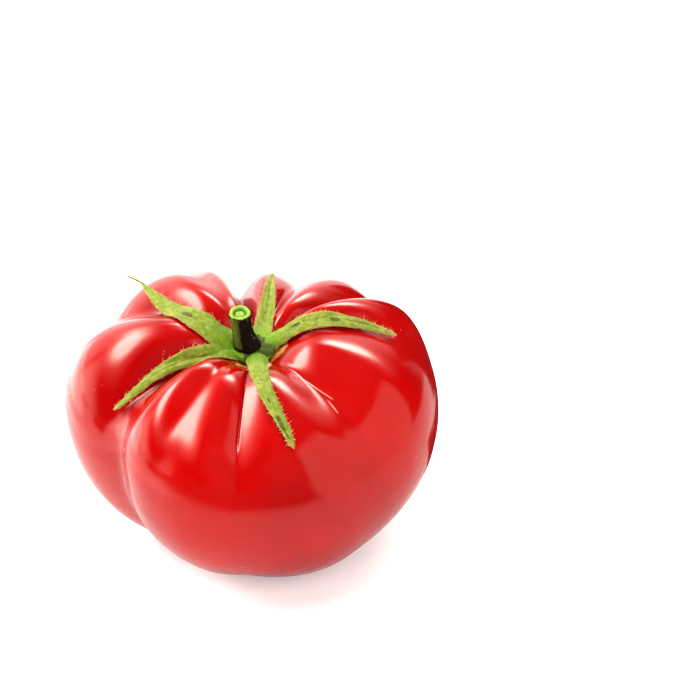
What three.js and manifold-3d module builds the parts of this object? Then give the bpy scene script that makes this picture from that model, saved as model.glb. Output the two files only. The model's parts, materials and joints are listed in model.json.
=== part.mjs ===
// A ribbed heirloom tomato as picked: the lobed fruit, its calyx of five sepals, and the cut stub of the stem.
// Millimetres, +Z up. The fruit rests on a small flat spot whose centre is the origin.
// Its stem axis leans forward, towards -Y.
// Shapes are worked out in the fruit's own frame: +Z along the stem axis, from the centre of the widest ring.
// An azimuth in that frame is 0 at the right (+X), 90 at the back (+Y) and 270 at the front.

import * as THREE from "three";
import { mergeVertices } from "three/addons/utils/BufferGeometryUtils.js";
import Module from "manifold-3d";

const wasm = await Module();
wasm.setup();

// How the fruit stands
const LEAN = 12;
const STAND_X = -0.4;
const STAND_Y = 2.4;
const CENTRE_HEIGHT = 36.6;
const PRESS_DEPTH = 0.3;
const PRESS_SOFTNESS = 1;

// The plain body under the lobes
const HALF_WIDTH = 47.5;
const HALF_DEPTH = 45;
const SHOULDER_HEIGHT = 28;
const SHOULDER_FULLNESS = 2.5;
const BASE_HEIGHT = 39;
const BASE_FULLNESS = 1.95;
const BASE_DRIFT = 3.5;

// The hollow round the stem and the dimple of the blossom end
const CAVITY_DEPTH = 10.5;
const CAVITY_RADIUS = 10.5;
const DIMPLE_DEPTH = 1.3;
const DIMPLE_RADIUS = 7;

// Furrows between the lobes: azimuth, and how far each reaches before and after it, in degrees;
// depth as a share of the radius at three heights; and how rounded the bottom is.
// The furrow at the left of the front lobes drifts as it goes down, so it is entered twice.
const FURROWS = [
  { azimuth: 12, before: 22, after: 12, shoulder: 0.055, equator: 0.005, base: 0, rounding: 0.3 },
  { azimuth: 41, before: 13, after: 16, shoulder: 0.14, equator: 0.04, base: 0.01, rounding: 0.1 },
  { azimuth: 74, before: 19, after: 12, shoulder: 0.17, equator: 0.07, base: 0.02, rounding: 0.1 },
  { azimuth: 98, before: 12, after: 12, shoulder: 0.3, equator: 0.14, base: 0.05, rounding: 0.08 },
  { azimuth: 153, before: 26, after: 22, shoulder: 0.15, equator: 0.05, base: 0.02, rounding: 0.1 },
  { azimuth: 205, before: 21, after: 27, shoulder: 0.24, equator: 0, base: 0, rounding: 0.1 },
  { azimuth: 214, before: 38, after: 36, shoulder: 0, equator: 0.17, base: 0.09, rounding: 0.1 },
  { azimuth: 237, before: 13, after: 12, shoulder: 0.055, equator: 0.005, base: 0, rounding: 0.4 },
  { azimuth: 265, before: 14, after: 24, shoulder: 0.07, equator: 0.015, base: 0.012, rounding: 0.04 },
  { azimuth: 315, before: 26, after: 27, shoulder: 0.12, equator: 0.02, base: 0, rounding: 0.3 },
];

// Lobes that stand out (or, below zero, sit back) from the plain body, equally wide on both sides
const SWELLS = [
  { azimuth: 26, spread: 12, shoulder: 0.05, equator: 0, base: 0 },
  { azimuth: 60, spread: 20, shoulder: -0.07, equator: 0, base: 0 },
  { azimuth: 87, spread: 14, shoulder: -0.175, equator: 0, base: 0 },
  { azimuth: 112, spread: 14, shoulder: -0.06, equator: -0.02, base: 0 },
  { azimuth: 136, spread: 18, shoulder: 0.05, equator: 0, base: 0 },
  { azimuth: 173, spread: 19, shoulder: 0.055, equator: 0, base: 0 },
  { azimuth: 194, spread: 22, shoulder: 0.02, equator: 0.02, base: 0.17 },
  { azimuth: 226, spread: 21, shoulder: 0.075, equator: 0, base: 0 },
  { azimuth: 298, spread: 24, shoulder: 0, equator: 0, base: 0.03 },
  { azimuth: 353, spread: 30, shoulder: 0, equator: -0.02, base: -0.11 },
];

// Polar angles, in radians from the stem, where the relief of the lobes sets in, changes and dies out
const RELIEF_START = [0.05, 0.75];
const SHOULDER_TO_EQUATOR = [0.75, 1.6];
const EQUATOR_TO_BASE = [1.6, 2.7];
const RELIEF_END = [2.35, 3];

// The faces of the fruit: one column about every 4 degrees round it, with one along each furrow
const COLUMN_STEP = 4;
const FRUIT_ROWS = 36;

// The hub of the calyx: rings of a pad on the cavity floor, by their lift above the skin, and its flat top
const SKIN_GAP = 0.45;
const HUB_LEVELS = [
  { radius: 2.5, lift: SKIN_GAP },
  { radius: 4.6, lift: SKIN_GAP },
  { radius: 5, lift: 1.05 },
  { radius: 4.8, lift: 2.05 },
];
const HUB_TOP = 22.6;
const HUB_TOP_RADIUS = 3.9;
const HUB_SIDES = 30;

// The seat that the foot of the stem stands in, cut flat into the calyx
const SEAT_RADIUS = 4.1;
const SEAT_DEPTH = 6;

// Sepals, root to tip: reach from the stem axis, azimuth, lift above the skin, and width
const SEPAL_THICKNESS = 1;
const SEPAL_EDGE_THICKNESS = 0.7;
const SEPAL_STATIONS = 16;
const SEPAL_COLUMNS = 5;
const SEPALS = {
  leftBack: {
    droop: 0.08,
    roll: 8,
    spine: [
      { reach: 3, azimuth: 168, lift: 2.8, width: 6.4 },
      { reach: 6.9, azimuth: 168, lift: 1.8, width: 7.6 },
      { reach: 11.2, azimuth: 170, lift: 1.6, width: 7.6 },
      { reach: 16.5, azimuth: 163.5, lift: 1.7, width: 6.8 },
      { reach: 21.5, azimuth: 156, lift: 2.7, width: 5.2 },
      { reach: 26, azimuth: 151.5, lift: 3.6, width: 3.8 },
      { reach: 30, azimuth: 147.7, lift: 3.6, width: 2.8 },
      { reach: 34, azimuth: 144, lift: 3.5, width: 1.8 },
      { reach: 36.5, azimuth: 143, lift: 5, width: 1.1 },
      { reach: 40, azimuth: 145, lift: 10.1, width: 0.9 },
    ],
  },
  leftFront: {
    droop: 0.2,
    roll: 0,
    spine: [
      { reach: 3, azimuth: 196, lift: 2.4, width: 5 },
      { reach: 8, azimuth: 203, lift: 1.6, width: 4.6 },
      { reach: 13, azimuth: 203.5, lift: 1.7, width: 4 },
      { reach: 18, azimuth: 202.5, lift: 2.1, width: 3.6 },
      { reach: 25, azimuth: 203, lift: 2.6, width: 3.2 },
      { reach: 30.5, azimuth: 204.5, lift: 2.6, width: 2.4 },
      { reach: 35, azimuth: 205, lift: 2.6, width: 1.5 },
      { reach: 37.5, azimuth: 204.5, lift: 2.6, width: 0.9 },
    ],
  },
  front: {
    droop: 0.12,
    roll: 0,
    spine: [
      { reach: 3, azimuth: 286, lift: 2.8, width: 5.6 },
      { reach: 8, azimuth: 280, lift: 1.6, width: 5.2 },
      { reach: 12.5, azimuth: 278, lift: 1.5, width: 4.8 },
      { reach: 19, azimuth: 278.8, lift: 1.5, width: 4.2 },
      { reach: 24, azimuth: 281, lift: 1.5, width: 3.6 },
      { reach: 29, azimuth: 283.7, lift: 1.5, width: 3 },
      { reach: 33.6, azimuth: 285.7, lift: 1.5, width: 2.2 },
      { reach: 36.9, azimuth: 286.8, lift: 1.5, width: 0.9 },
    ],
  },
  right: {
    droop: 0.12,
    roll: 6,
    spine: [
      { reach: 3, azimuth: 28, lift: 2.8, width: 5 },
      { reach: 6.6, azimuth: 24.5, lift: 1.6, width: 4.8 },
      { reach: 12.8, azimuth: 16, lift: 1.5, width: 4.4 },
      { reach: 21, azimuth: 13.4, lift: 1.5, width: 4.2 },
      { reach: 28, azimuth: 10.5, lift: 1.7, width: 3.2 },
      { reach: 33, azimuth: 8, lift: 1.85, width: 1.7 },
      { reach: 36, azimuth: 7, lift: 2.1, width: 0.9 },
    ],
  },
  back: {
    droop: -0.12,
    roll: 0,
    spine: [
      { reach: 3, azimuth: 60, lift: 3, width: 4.6 },
      { reach: 7, azimuth: 70, lift: 2, width: 4.8 },
      { reach: 13, azimuth: 77, lift: 2.1, width: 4.4 },
      { reach: 20, azimuth: 80, lift: 2.6, width: 3.4 },
      { reach: 26, azimuth: 81.5, lift: 2.8, width: 2 },
      { reach: 31, azimuth: 82, lift: 2.7, width: 0.9 },
    ],
  },
};

// The stem stub: height above the ring's centre, radius, and sideways place of each level
const STEM_SIDES = 24;
const STEM_RIDGES = 5;
const STEM_RIDGE_HEIGHT = 0.05;
const STEM_LEVELS = [
  { height: 22.9, radius: 2.9, shift: -1.5 },
  { height: 23.3, radius: 3.4, shift: -1.5 },
  { height: 24.5, radius: 3.1, shift: -1.9 },
  { height: 26.2, radius: 2.75, shift: -2.3 },
  { height: 28.6, radius: 2.5, shift: -2.6 },
  { height: 31.4, radius: 2.4, shift: -2.9 },
  { height: 33.1, radius: 2.55, shift: -3 },
  { height: 33.4, radius: 2.3, shift: -3 },
  { height: 33.1, radius: 1.5, shift: -3 },
];

const radians = THREE.MathUtils.degToRad;
const smoothstep = THREE.MathUtils.smoothstep;

// How strongly a furrow or swell shows at one polar angle (0 at the stem, pi at the blossom end)
function depthAt(relief, polar) {
  const ends = smoothstep(polar, ...RELIEF_START) * (1 - smoothstep(polar, ...RELIEF_END));
  const toEquator = smoothstep(polar, ...SHOULDER_TO_EQUATOR);
  const toBase = smoothstep(polar, ...EQUATOR_TO_BASE);
  const upper = relief.shoulder * (1 - toEquator);
  const lower = toEquator * (relief.equator * (1 - toBase)) + toBase * relief.base;
  return ends * (upper + lower);
}

// Angle in degrees from a relief's own azimuth, both ways round the circle
function turnFrom(relief, azimuth) {
  const turn = THREE.MathUtils.radToDeg(azimuth) - relief.azimuth;
  return THREE.MathUtils.euclideanModulo(turn + 180, 360) - 180;
}

// 1 along the bottom of a furrow, falling to 0 at its sides
function furrowAt(furrow, azimuth) {
  const turn = turnFrom(furrow, azimuth);
  const spread = turn < 0 ? furrow.before : furrow.after;
  const share = Math.hypot(turn / spread, furrow.rounding) - furrow.rounding;
  return Math.max(1 - share, 0) ** 2;
}

// A point of the skin in the fruit's own frame
function skinPoint(azimuth, polar) {
  const across = Math.sin(polar);
  const along = Math.cos(polar);
  const width = 1 / Math.hypot(Math.cos(azimuth) / HALF_WIDTH, Math.sin(azimuth) / HALF_DEPTH);
  const height = along > 0 ? SHOULDER_HEIGHT : BASE_HEIGHT;
  const fullness = along > 0 ? SHOULDER_FULLNESS : BASE_FULLNESS;
  const plain = ((across / width) ** fullness + (Math.abs(along) / height) ** fullness) ** (-1 / fullness);
  let cut = 0;
  for (const furrow of FURROWS) {
    cut += furrowAt(furrow, azimuth) * depthAt(furrow, polar);
  }
  for (const swell of SWELLS) {
    cut -= Math.exp(-((turnFrom(swell, azimuth) / swell.spread) ** 2)) * depthAt(swell, polar);
  }
  const radius = plain * (1 - cut);
  const reach = radius * across;
  let z = radius * along;
  if (along > 0) {
    z -= CAVITY_DEPTH * Math.exp(-((reach / CAVITY_RADIUS) ** 2));
  } else {
    z += DIMPLE_DEPTH * Math.exp(-((reach / DIMPLE_RADIUS) ** 2));
  }
  const drift = BASE_DRIFT * (Math.max(-z, 0) / BASE_HEIGHT) ** 2;
  return new THREE.Vector3(reach * Math.cos(azimuth) + drift, reach * Math.sin(azimuth), z);
}

// Height of the upper skin at one place of the fruit's own frame
function skinHeight(x, y) {
  const azimuth = Math.atan2(y, x);
  const reach = Math.hypot(x, y);
  let low = 0;
  let high = Math.PI / 2;
  for (let step = 0; step < 30; step += 1) {
    const middle = (low + high) / 2;
    const point = skinPoint(azimuth, middle);
    if (Math.hypot(point.x, point.y) < reach) {
      low = middle;
    } else {
      high = middle;
    }
  }
  return skinPoint(azimuth, low).z;
}

// Closed solid of a first point, rings of equal length, and a last point.
// The rings turn anticlockwise as seen from the last point.
function stackRings(first, rings, last) {
  const count = rings[0].length;
  const points = [first, ...rings.flat(), last];
  const lastIndex = points.length - 1;
  const faces = [];
  for (let side = 0; side < count; side += 1) {
    const next = (side + 1) % count;
    faces.push(0, 1 + next, 1 + side);
    for (let row = 0; row + 1 < rings.length; row += 1) {
      const here = 1 + row * count;
      const above = here + count;
      faces.push(here + side, here + next, above + next);
      faces.push(here + side, above + next, above + side);
    }
    const top = 1 + (rings.length - 1) * count;
    faces.push(lastIndex, top + side, top + next);
  }
  const geometry = new THREE.BufferGeometry();
  geometry.setFromPoints(points);
  geometry.setIndex(faces);
  return geometry;
}

function toSolid(geometry) {
  geometry.deleteAttribute("normal");
  geometry.deleteAttribute("uv");
  const merged = mergeVertices(geometry);
  const vertProperties = Float32Array.from(merged.attributes.position.array);
  const triVerts = Uint32Array.from(merged.index.array);
  return new wasm.Manifold(new wasm.Mesh({ numProp: 3, vertProperties, triVerts }));
}

function toGeometry(solid) {
  const mesh = solid.getMesh();
  const geometry = new THREE.BufferGeometry();
  geometry.setAttribute("position", new THREE.BufferAttribute(mesh.vertProperties, 3));
  geometry.setIndex(new THREE.BufferAttribute(mesh.triVerts, 1));
  return geometry;
}

// Azimuths of the fruit's columns, evenly spaced from each furrow to the next
function columnAzimuths() {
  const azimuths = [];
  FURROWS.forEach((furrow, index) => {
    const next = FURROWS[(index + 1) % FURROWS.length].azimuth;
    const gap = THREE.MathUtils.euclideanModulo(next - furrow.azimuth, 360);
    const steps = Math.round(gap / COLUMN_STEP);
    for (let step = 0; step < steps; step += 1) {
      azimuths.push(radians(furrow.azimuth + (gap * step) / steps));
    }
  });
  return azimuths;
}

// From the fruit's own frame to the frame it stands in
const stand = new THREE.Matrix4()
  .makeTranslation(STAND_X, STAND_Y, CENTRE_HEIGHT)
  .multiply(new THREE.Matrix4().makeRotationX(radians(LEAN)));

// The skin gives softly where it nears the resting plane, and lies flat on it
function press(point) {
  const height = point.z + PRESS_DEPTH;
  const soft = (height + Math.hypot(height, PRESS_SOFTNESS)) / 2 - PRESS_DEPTH;
  point.z = Math.max(soft, 0);
  return point;
}

function fruitGeometry() {
  const standing = (azimuth, polar) => press(skinPoint(azimuth, polar).applyMatrix4(stand));
  const azimuths = columnAzimuths();
  const rings = [];
  for (let row = FRUIT_ROWS - 1; row > 0; row -= 1) {
    rings.push(azimuths.map((azimuth) => standing(azimuth, (Math.PI * row) / FRUIT_ROWS)));
  }
  return stackRings(standing(0, Math.PI), rings, standing(0, 0));
}

// The place of a spine point in the fruit's own frame
function spinePoint({ reach, azimuth, lift }) {
  const x = reach * Math.cos(radians(azimuth));
  const y = reach * Math.sin(radians(azimuth));
  return new THREE.Vector3(x, y, skinHeight(x, y) + lift);
}

// Width of a sepal part of the way along its spine
function widthAlong(spine, share) {
  const place = share * (spine.length - 1);
  const index = Math.min(Math.floor(place), spine.length - 2);
  return THREE.MathUtils.lerp(spine[index].width, spine[index + 1].width, place - index);
}

// One sepal: a thin blade across a curved spine, its edges drooping or raised, always clear of the skin
function sepalSolid({ spine, droop, roll }) {
  const curve = new THREE.CatmullRomCurve3(spine.map(spinePoint));
  const rings = [];
  const centres = [];
  for (let station = 0; station < SEPAL_STATIONS; station += 1) {
    const share = station / (SEPAL_STATIONS - 1);
    const centre = curve.getPoint(share);
    const forward = curve.getTangent(share);
    const side = new THREE.Vector3().crossVectors(forward, new THREE.Vector3(0, 0, 1)).normalize();
    side.applyAxisAngle(forward, radians(roll));
    const up = new THREE.Vector3().crossVectors(side, forward);
    const width = widthAlong(spine, share);
    const under = [];
    const over = [];
    for (let column = 0; column < SEPAL_COLUMNS; column += 1) {
      const across = (2 * column) / (SEPAL_COLUMNS - 1) - 1;
      const thickness = THREE.MathUtils.lerp(SEPAL_THICKNESS, SEPAL_EDGE_THICKNESS, Math.abs(across));
      const middle = centre.clone();
      middle.addScaledVector(side, (across * width) / 2);
      middle.addScaledVector(up, -droop * width * across ** 2);
      const lowest = skinHeight(middle.x, middle.y) + SKIN_GAP + SEPAL_THICKNESS;
      middle.z = Math.max(middle.z, lowest);
      over.push(middle.clone().addScaledVector(up, thickness / 2));
      under.push(middle.clone().addScaledVector(up, -thickness / 2));
    }
    rings.push([...over, ...under.reverse()]);
    centres.push(over[(SEPAL_COLUMNS - 1) / 2].clone().lerp(under[(SEPAL_COLUMNS - 1) / 2], 0.5));
  }
  return toSolid(stackRings(centres[0], rings, centres.at(-1)));
}

// The hub: a round pad over the cavity floor, following it underneath and flat on top
function hubSolid() {
  const ring = (radius, heightAt) => {
    const points = [];
    for (let side = 0; side < HUB_SIDES; side += 1) {
      const turn = (2 * Math.PI * side) / HUB_SIDES;
      const x = radius * Math.cos(turn);
      const y = radius * Math.sin(turn);
      points.push(new THREE.Vector3(x, y, heightAt(x, y)));
    }
    return points;
  };
  const rings = HUB_LEVELS.map(({ radius, lift }) => ring(radius, (x, y) => skinHeight(x, y) + lift));
  rings.push(ring(HUB_TOP_RADIUS, () => HUB_TOP));
  rings.push(ring(HUB_TOP_RADIUS / 2, () => HUB_TOP));
  const bottom = new THREE.Vector3(0, 0, skinHeight(0, 0) + SKIN_GAP);
  return toSolid(stackRings(bottom, rings, new THREE.Vector3(0, 0, HUB_TOP)));
}

function calyxGeometry() {
  let solid = hubSolid();
  for (const sepal of Object.values(SEPALS)) {
    solid = solid.add(sepalSolid(sepal));
  }
  const seat = new THREE.CylinderGeometry(SEAT_RADIUS, SEAT_RADIUS, SEAT_DEPTH, HUB_SIDES);
  seat.rotateX(Math.PI / 2);
  seat.translate(STEM_LEVELS[0].shift, 0, HUB_TOP + SEAT_DEPTH / 2);
  return toGeometry(solid.subtract(toSolid(seat)));
}

// The stub of the stem: round with soft ridges, flared at its foot, cut square with a sunken pith
function stemGeometry() {
  const rings = STEM_LEVELS.map(({ height, radius, shift }) => {
    const points = [];
    for (let side = 0; side < STEM_SIDES; side += 1) {
      const turn = (2 * Math.PI * side) / STEM_SIDES;
      const ridged = radius * (1 + STEM_RIDGE_HEIGHT * Math.cos(STEM_RIDGES * turn));
      points.push(new THREE.Vector3(shift + ridged * Math.cos(turn), ridged * Math.sin(turn), height));
    }
    return points;
  });
  const foot = STEM_LEVELS[0];
  const pith = STEM_LEVELS.at(-1);
  const first = new THREE.Vector3(foot.shift, 0, foot.height);
  const last = new THREE.Vector3(pith.shift, 0, pith.height);
  return stackRings(first, rings, last);
}

function namedMesh(name, geometry, material) {
  const mesh = new THREE.Mesh(geometry, new THREE.MeshStandardMaterial(material));
  mesh.name = name;
  return mesh;
}

const tomato = new THREE.Group();
tomato.add(namedMesh("fruit", fruitGeometry(), { color: 0xc9140d, roughness: 0.3, metalness: 0 }));

// The calyx and the stem lean with the fruit
const crown = new THREE.Group();
crown.applyMatrix4(stand);
crown.add(namedMesh("calyx", calyxGeometry(), { color: 0x93b34e, roughness: 0.65, metalness: 0 }));
crown.add(namedMesh("stem", stemGeometry(), { color: 0x6f9a38, roughness: 0.6, metalness: 0 }));
tomato.add(crown);

export default tomato;
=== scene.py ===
"""A ribbed heirloom tomato with its calyx and the cut stub of its stem, laid out as an add-on.

The fruit's shape is worked out in millimetres in the fruit's own frame: +Z along the stem axis, from the
centre of the widest ring. An azimuth is 0 at the right (+X), 90 at the back (+Y) and 270 at the front.
"""

import json
import math

import bpy
import numpy as np
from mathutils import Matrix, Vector

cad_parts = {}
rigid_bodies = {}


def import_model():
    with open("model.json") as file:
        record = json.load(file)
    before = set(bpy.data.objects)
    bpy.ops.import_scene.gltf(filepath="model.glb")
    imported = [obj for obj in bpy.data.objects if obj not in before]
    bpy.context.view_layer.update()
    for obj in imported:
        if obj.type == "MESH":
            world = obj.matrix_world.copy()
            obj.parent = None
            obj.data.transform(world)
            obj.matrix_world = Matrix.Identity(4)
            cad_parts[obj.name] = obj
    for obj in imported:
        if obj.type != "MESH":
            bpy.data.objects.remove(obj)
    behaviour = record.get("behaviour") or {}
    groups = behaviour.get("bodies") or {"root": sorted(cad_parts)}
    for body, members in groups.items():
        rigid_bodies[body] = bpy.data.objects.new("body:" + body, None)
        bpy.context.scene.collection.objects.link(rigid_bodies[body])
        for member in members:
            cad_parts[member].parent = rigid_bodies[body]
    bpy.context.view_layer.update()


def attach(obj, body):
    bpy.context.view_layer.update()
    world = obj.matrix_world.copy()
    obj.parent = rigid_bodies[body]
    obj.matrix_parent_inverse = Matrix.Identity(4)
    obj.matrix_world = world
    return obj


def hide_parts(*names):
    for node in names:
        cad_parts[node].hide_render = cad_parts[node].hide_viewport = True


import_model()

bl_info = {
    "name": "Heirloom Tomato",
    "version": (1, 0, 0),
    "blender": (4, 5, 0),
    "location": "3D View > Sidebar > Tomato",
    "description": "Models a ribbed heirloom tomato with its calyx, stem stub and studio",
    "category": "Object",
}

MM = 0.001

# How the fruit stands
LEAN = 12
STAND = (-0.4, 2.4, 36.6)
PRESS_DEPTH = 0.3
PRESS_SOFTNESS = 1

# The plain body under the lobes
HALF_WIDTH = 47.5
HALF_DEPTH = 45
SHOULDER_HEIGHT = 28
SHOULDER_FULLNESS = 2.5
BASE_HEIGHT = 39
BASE_FULLNESS = 1.95
BASE_DRIFT = 3.5

# The hollow round the stem and the dimple of the blossom end
CAVITY_DEPTH = 10.5
CAVITY_RADIUS = 10.5
DIMPLE_DEPTH = 1.3
DIMPLE_RADIUS = 7

# Furrows between the lobes: azimuth, and how far each reaches before and after it, in degrees;
# depth as a share of the radius at the shoulder, the equator and the base; and how rounded the bottom is
FURROWS = (
    (12, 22, 12, 0.055, 0.005, 0, 0.3),
    (41, 13, 16, 0.14, 0.04, 0.01, 0.1),
    (74, 19, 12, 0.17, 0.07, 0.02, 0.1),
    (98, 12, 12, 0.3, 0.14, 0.05, 0.08),
    (153, 26, 22, 0.15, 0.05, 0.02, 0.1),
    (205, 21, 27, 0.24, 0, 0, 0.1),
    (214, 38, 36, 0, 0.17, 0.09, 0.1),
    (237, 13, 12, 0.055, 0.005, 0, 0.4),
    (265, 14, 24, 0.07, 0.015, 0.012, 0.04),
    (315, 26, 27, 0.12, 0.02, 0, 0.3),
)

# Lobes that stand out (or, below zero, sit back) from the plain body: azimuth, spread and the three depths
SWELLS = (
    (26, 12, 0.05, 0, 0),
    (60, 20, -0.07, 0, 0),
    (87, 14, -0.175, 0, 0),
    (112, 14, -0.06, -0.02, 0),
    (136, 18, 0.05, 0, 0),
    (173, 19, 0.055, 0, 0),
    (194, 22, 0.02, 0.02, 0.17),
    (226, 21, 0.075, 0, 0),
    (298, 24, 0, 0, 0.03),
    (353, 30, 0, -0.02, -0.11),
)

# Polar angles, in radians from the stem, where the relief of the lobes sets in, changes and dies out
RELIEF_START = (0.05, 0.75)
SHOULDER_TO_EQUATOR = (0.75, 1.6)
EQUATOR_TO_BASE = (1.6, 2.7)
RELIEF_END = (2.35, 3)

# The sharp crease of the front lobes: azimuth and width in degrees, polar span in radians and how
# softly it ends; and the two healed nicks beside the right front lobe: azimuth and polar angle of
# their ends, millimetres in a degree and in a radian there, and half-width at the ends and how much
# more of it in the middle
CREASE_AZIMUTH = 264.6
CREASE_POLAR = (0.4, 1.12)
CREASE_FADE = 0.12
CREASE_WIDTH = 0.6
NICKS = (
    ((313.6, 0.67), (317.4, 0.91)),
    ((314.8, 0.9), (314.1, 0.99)),
)
NICK_SCALE = (0.48, 38)
NICK_WIDTH = (0.13, 0.1)

# Relief of the skin in millimetres, the polar angles between which its undulation sets in, and where
# its columns of faces crowd: azimuth, spread, times denser; and how strongly its rows crowd to the stem
CREASE_DEPTH = 0.45
NICK_HEIGHT = 0.06
UNDULATION = 0.12
UNDULATION_START = (0.3, 0.8)
CORK_HEIGHT = 0.25
CROWDED = ((CREASE_AZIMUTH, 2.5, 4), (315.3, 3, 4))
CROWD_STEPS = 7201
ROW_PULL = 0.07

# How often the search for the skin's height halves its span
HALVINGS = 28

# Sepals. Spine, root to tip: reach from the stem axis, azimuth, lift above the skin, and width.
# Spots, the dark blotches and the painted shade in the creases: place across and along, and half-size across
# and along, as shares of the blade
SKIN_GAP = 0.3
SEPALS = {
    "left_back": {
        "spots": ((0.1, 0.98, 0.5, 0.05), (0, 0.35, 0.3, 0.05)),
        "droop": 0.08,
        "roll": -10,
        "fold": 0.05,
        "spine": (
            (3, 168, 2.8, 6.4),
            (6.9, 168, 1.8, 7.6),
            (11.2, 170, 1.6, 7.6),
            (16.5, 163.5, 1.7, 6.8),
            (21.5, 156, 2.7, 5.2),
            (26, 151.5, 3.6, 3.8),
            (30, 147.7, 3.6, 2.8),
            (34, 144, 3.5, 1.3),
            (36.5, 143, 5, 0.5),
            (40, 145, 10.1, 0.4),
        ),
    },
    "left_front": {
        "spots": ((0, 0.52, 0.12, 0.35), (0.1, 0.3, 0.2, 0.05)),
        "droop": 0.2,
        "roll": -6,
        "fold": 0.12,
        "spine": (
            (3, 196, 2.4, 5),
            (8, 203, 1.6, 4.6),
            (13, 203.5, 1.7, 4),
            (18, 202.5, 2.1, 3.6),
            (25, 203, 2.6, 3.2),
            (30.5, 204.5, 2.6, 2.4),
            (35, 205, 2.6, 1.5),
            (37.5, 204.5, 2.6, 0.9),
        ),
    },
    "front": {
        "spots": ((0.35, 0.78, 0.45, 0.09), (0.3, 0.6, 0.2, 0.03), (0.3, 0.88, 0.4, 0.03)),
        "droop": 0.12,
        "roll": 0,
        "fold": 0.04,
        "spine": (
            (3, 286, 2.8, 5.6),
            (8, 280, 1.6, 5.2),
            (12.5, 278, 1.5, 4.8),
            (19, 278.8, 1.5, 4.2),
            (24, 281, 1.5, 3.6),
            (29, 283.7, 1.5, 3),
            (33.6, 285.7, 1.5, 2.2),
            (36.9, 286.8, 1.5, 0.9),
        ),
    },
    "right": {
        "spots": ((-0.1, 0.3, 0.3, 0.04), (0.1, 0.5, 0.4, 0.04), (0, 0.7, 0.15, 0.2)),
        "droop": 0.12,
        "roll": 6,
        "fold": 0.08,
        "spine": (
            (3, 28, 2.8, 5),
            (6.6, 24.5, 1.6, 4.8),
            (12.8, 16, 1.5, 4.4),
            (21, 13.4, 1.5, 4.2),
            (28, 10.5, 1.7, 3.2),
            (33, 8, 1.85, 1.7),
            (36, 7, 2.1, 0.9),
        ),
    },
    "back": {
        "spots": ((0, 0.75, 0.14, 0.4), (0.2, 0.95, 0.8, 0.05)),
        "droop": -0.12,
        "roll": 0,
        "fold": 0.18,
        "spine": (
            (3, 60, 3, 4.6),
            (7, 70, 2, 4.8),
            (13, 77, 2.1, 4.4),
            (20, 80, 2.6, 3.4),
            (26, 81.5, 2.8, 2),
            (31, 82, 2.7, 0.9),
        ),
    },
}
SEPAL_STATIONS = 72
SEPAL_COLUMNS = 18

# The hub that the sepals grow from: radius and lift above the skin of its lower rings, radius of
# its upper ones, and the web between the two left sepals: azimuth, spread and how far it stands out
HUB_TOP = 22.4
HUB_SIDES = 72
HUB_RINGS = ((2.5, 0.35), (4.5, 0.35), (5.1, 0.8), (5.2, 1.6), (4.9, 2.6))
HUB_UPPER_RINGS = (4.4, 3.4, 1.5)
HUB_LIFT = 0.35
WEB = (182, 24, 0.42)

# Fine hairs: radius at the root, and the seed of the random draws
HAIR_RADIUS = 0.032
HAIR_SEED = 7

# The stem stub: height above the ring's centre, radius, and sideways place of each level
STEM_SIDES = 72
STEM_ROWS = 96
STEM_LEVELS = (
    (22.6, 3.4, -1.5),
    (23.3, 3.4, -1.5),
    (24.5, 3.1, -1.9),
    (26.2, 2.75, -2.3),
    (28.6, 2.5, -2.6),
    (31.4, 2.4, -2.9),
    (32.6, 2.5, -3),
)

# The stem's rows: share that closes its foot, share where the cut end starts, and the cut end
# itself from its rim to its middle: place, share of the radius and lift; and the side that painted shade
# darkens
STEM_FOOT = 0.05
STEM_CUT_FROM = 0.72
STEM_CUT = (
    (0, 1, 0),
    (0.08, 1.04, 0.45),
    (0.16, 0.98, 0.75),
    (0.3, 0.78, 0.7),
    (0.42, 0.62, 0.1),
    (0.55, 0.5, -0.1),
    (0.7, 0.3, 0.25),
    (1, 0, 0.1),
)
SHADED_SIDE_AZIMUTH = 318
SHADED_SIDE_SPREAD = 78

# The photo's width, the pixel that shows the fruit's middle, the scale there, and the camera's
# sensor in millimetres
PHOTO_WIDTH = 700
SUBJECT_PIXEL = (255, 411)
PIXELS_PER_METRE = 3950
SENSOR_WIDTH = 36

# Lights: azimuth, elevation, distance, width, height, which brightness and how much of it, what they
# act on. A light at elevation 0 is a rectangle, and the white card stands above the fruit's middle
CARD_HEIGHT = 0.62
LIGHTS = (
    ("fill_front", 290, 28, 1.6, 1.9, 1.9, "fill_brightness", 0.9, "diffuse"),
    ("fill_top", 60, 80, 1.6, 1.9, 1.9, "fill_brightness", 0.95, "diffuse"),
    ("key_soft", 168, 38, 1.2, 0.9, 0.9, "fill_brightness", 2.3, "diffuse"),
    ("card_white", 336, 0, 0.5, 0.56, CARD_HEIGHT, "card_brightness", 1, "gloss"),
    ("card_left", 158, 0, 0.16, 0.16, 0.066, "card_brightness", 1.4, "gloss"),
)

# Softboxes that the skin's gloss mirrors: azimuth, elevation, width and height; and how each fades
# towards its rim, in nested steps of size and share of the brightness
SOFTBOXES = (
    ("softbox_left", 172, 51, 1.5, 0.52),
    ("softbox_back", 68, 48, 0.85, 0.4),
)
SOFTBOX_DISTANCE = 1.2
SOFTBOX_STEP = 0.01
FEATHER = ((0.75, 0.4), (0.9, 0.3), (1.08, 0.17), (1.3, 0.07), (1.7, 0.04), (2.2, 0.02))

# Bright walls of the room: azimuth, elevation, angles where the glow is full and where it ends, strength
GLOWS = (
    (178, 0, 12, 36, 3.6),
    (125, 4, 12, 40, 2.2),
    (78, 6, 12, 36, 1.9),
)

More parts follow.
